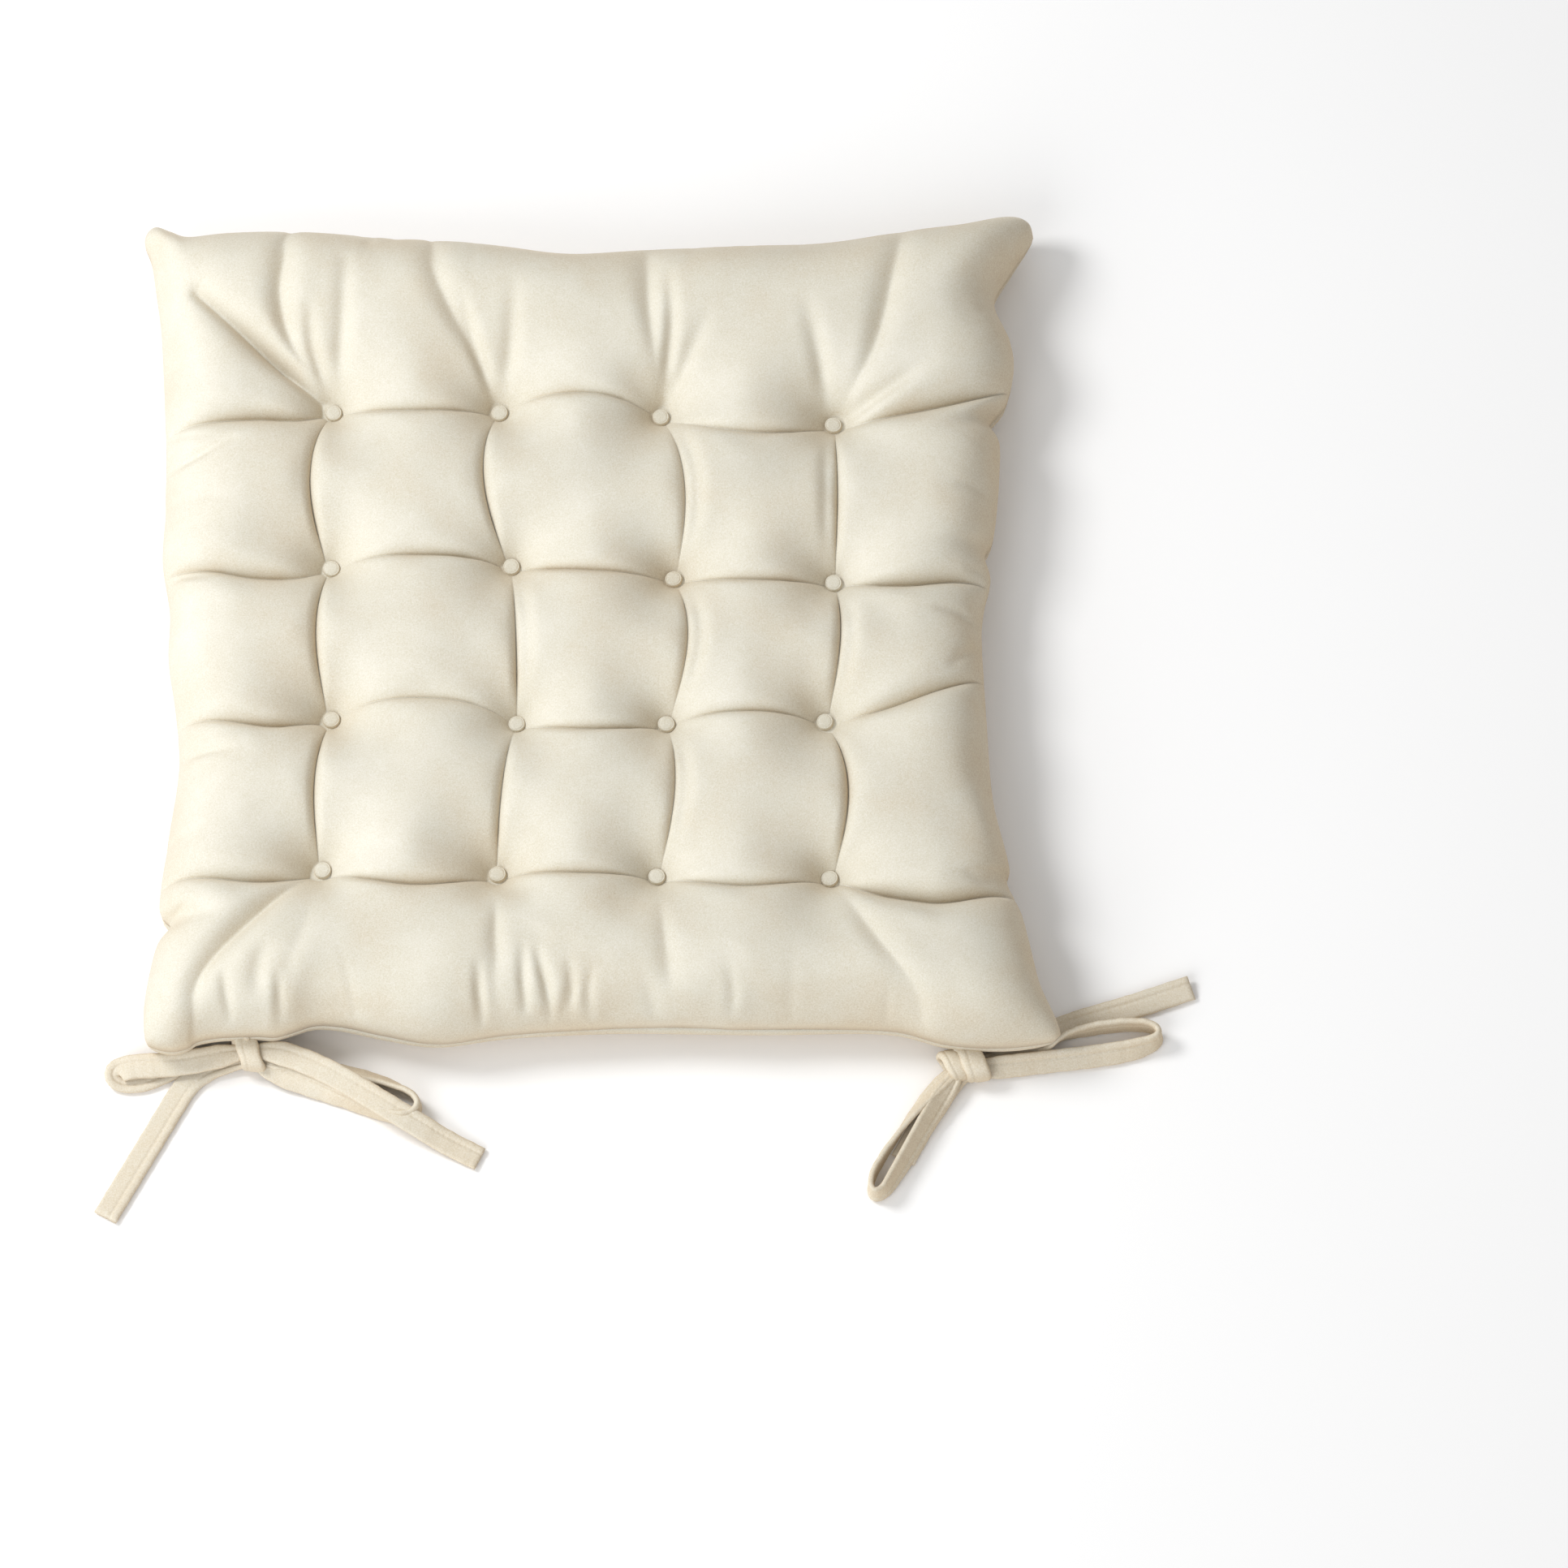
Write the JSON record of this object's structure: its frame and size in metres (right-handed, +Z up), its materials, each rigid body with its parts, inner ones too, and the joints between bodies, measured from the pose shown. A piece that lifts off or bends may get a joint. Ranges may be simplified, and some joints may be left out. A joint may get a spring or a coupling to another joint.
{
  "type": "chair seat pad",
  "caption": "Square button-tufted velvet chair seat pad with fabric-covered buttons and tie straps knotted in bows.",
  "frame": {"origin": "centre of the flat underside of the pad, without its ties", "axes": "+Z up through the thickness, -Y towards the edge that carries the ties, +X to the right when that edge is nearest"},
  "size_m": [0.4885, 0.4738, 0.06],
  "materials": {
    "velvet": "short-pile cream velvet, soft sheen",
    "strap_velvet": "the same velvet folded and stitched into flat straps",
    "fibre_filling": "white polyester fibre",
    "thread": "cream polyester thread, slightly darker than the velvet",
    "button_plastic": "moulded white plastic",
    "button_wire": "drawn wire"
  },
  "bodies": {
    "pad": {"top_cover": "velvet", "bottom_cover": "velvet", "filling": "fibre_filling", "seam_thread": "thread", "button_r1c1": "velvet", "button_r1c2": "velvet", "button_r1c3": "velvet", "button_r1c4": "velvet", "button_r2c1": "velvet", "button_r2c2": "velvet", "button_r2c3": "velvet", "button_r2c4": "velvet", "button_r3c1": "velvet", "button_r3c2": "velvet", "button_r3c3": "velvet", "button_r3c4": "velvet", "button_r4c1": "velvet", "button_r4c2": "velvet", "button_r4c3": "velvet", "button_r4c4": "velvet", "button_shells": "button_plastic", "button_back_plates": "button_plastic", "button_wire_loops": "button_wire", "tuft_threads": "thread", "tuft_knots": "thread", "tie_bar_tacks": "thread", "tie_left_a_sewn_end": "strap_velvet", "tie_left_b_sewn_end": "strap_velvet", "tie_right_a_sewn_end": "strap_velvet", "tie_right_b_sewn_end": "strap_velvet"},
    "tie_left": {"tie_left_knot": "strap_velvet", "tie_left_a_loop": "strap_velvet", "tie_left_a_tail": "strap_velvet", "tie_left_b_loop": "strap_velvet", "tie_left_b_tail": "strap_velvet"},
    "tie_right": {"tie_right_knot": "strap_velvet", "tie_right_a_loop": "strap_velvet", "tie_right_a_tail": "strap_velvet", "tie_right_b_loop": "strap_velvet", "tie_right_b_tail": "strap_velvet"}
  },
  "joints": [
    {"name": "tie_left_drop", "type": "hinge", "parent": "pad", "child": "tie_left", "pos_m": [-0.156, -0.187, 0.003], "axis": [1, 0, 0], "range_deg": [0, 90]},
    {"name": "tie_right_drop", "type": "hinge", "parent": "pad", "child": "tie_right", "pos_m": [0.165, -0.187, 0.003], "axis": [1, 0, 0], "range_deg": [0, 90]}
  ]
}
